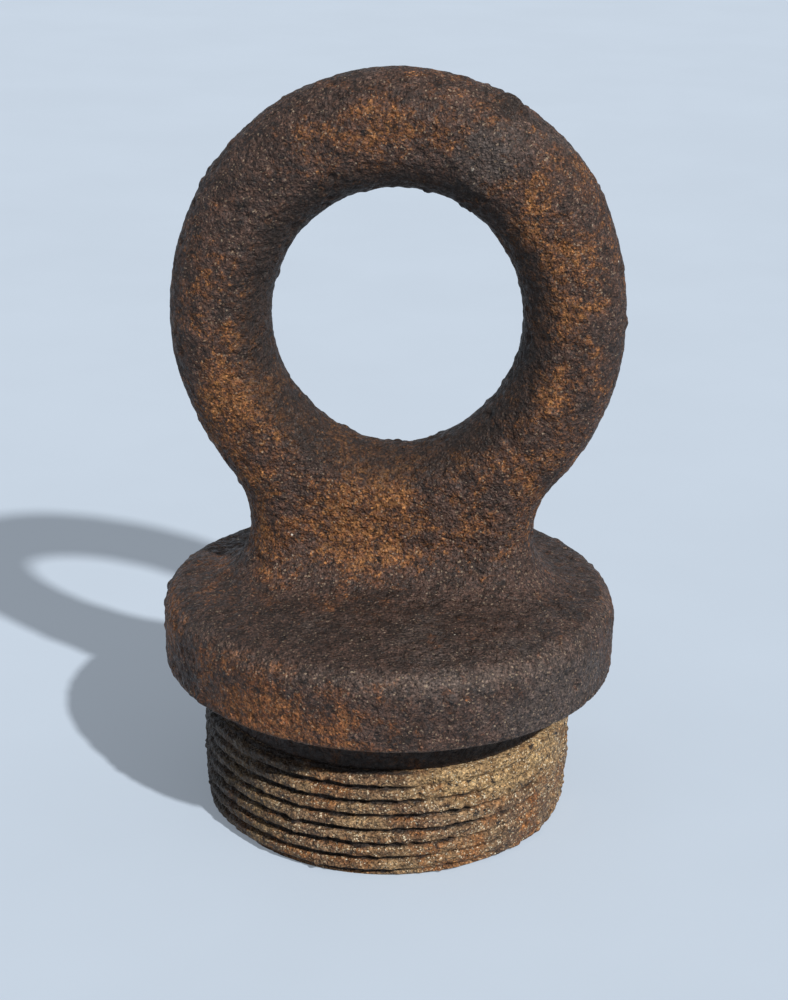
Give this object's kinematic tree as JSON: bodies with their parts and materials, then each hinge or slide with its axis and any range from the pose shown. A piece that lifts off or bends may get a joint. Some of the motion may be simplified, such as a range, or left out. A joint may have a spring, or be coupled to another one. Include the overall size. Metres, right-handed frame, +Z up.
{
  "type": "lifting eye plug",
  "caption": "Forged lifting plug: an oval eye on a round collar, over a short screw thread of large diameter.",
  "frame": {"origin": "centre of the thread's bottom face", "axes": "+Z up the thread's axis to the eye, and the eye's hole runs along Y"},
  "size_m": [0.0614, 0.0614, 0.102],
  "materials": {
    "rusted_forging": "rough brown and orange rust with grey-violet scale",
    "gritty_thread": "worn thread packed with tan grit and orange rust"
  },
  "bodies": {
    "root": {"forged_eye": "rusted_forging", "threaded_shank": "gritty_thread"}
  },
  "joints": []
}
